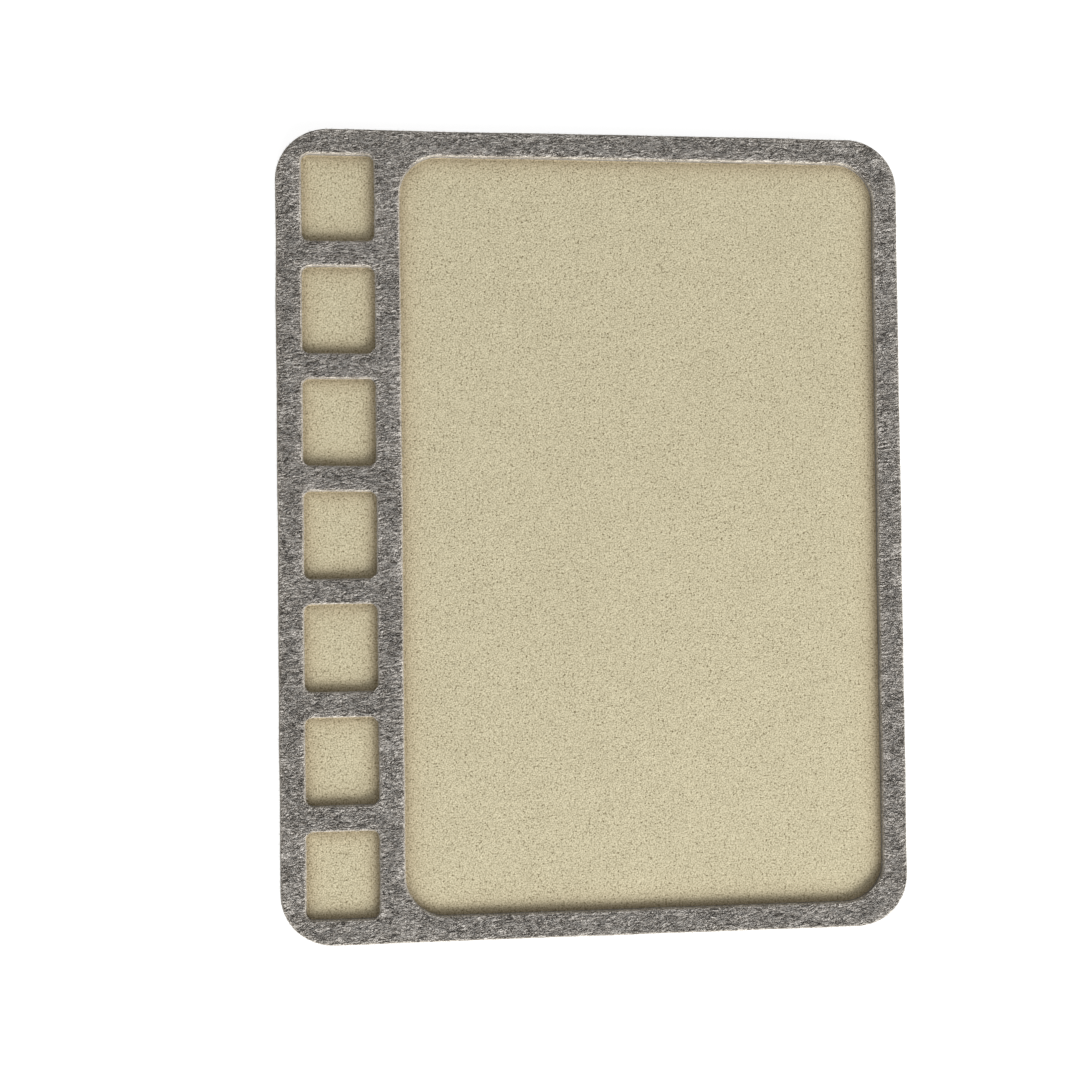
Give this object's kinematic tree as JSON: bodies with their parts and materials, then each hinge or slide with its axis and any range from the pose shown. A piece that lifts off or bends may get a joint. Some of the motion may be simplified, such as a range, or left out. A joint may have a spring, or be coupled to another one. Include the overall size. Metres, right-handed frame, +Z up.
{
  "type": "bead mat",
  "caption": "Flat rectangular bead mat: a thick felt frame bonded to a soft flocked foam sheet, with a large work area and a column of small bead wells along one side.",
  "frame": {"origin": "centre of the underside, on the surface that the mat lies on", "axes": "+Z up out of the wells, +Y along the column of wells, +X from the column towards the work area"},
  "size_m": [0.2794, 0.3556, 0.0059],
  "materials": {
    "grey_felt": "matte",
    "cream_pile": "matte",
    "cream_foam": "matte",
    "scrim_cloth": "matte",
    "hot_melt": "satin"
  },
  "bodies": {
    "root": {"felt_frame": "grey_felt", "frame_bond": "hot_melt", "pile_face": "cream_pile", "foam_upper": "cream_foam", "scrim": "scrim_cloth", "foam_lower": "cream_foam", "pile_back": "cream_pile"}
  },
  "joints": []
}
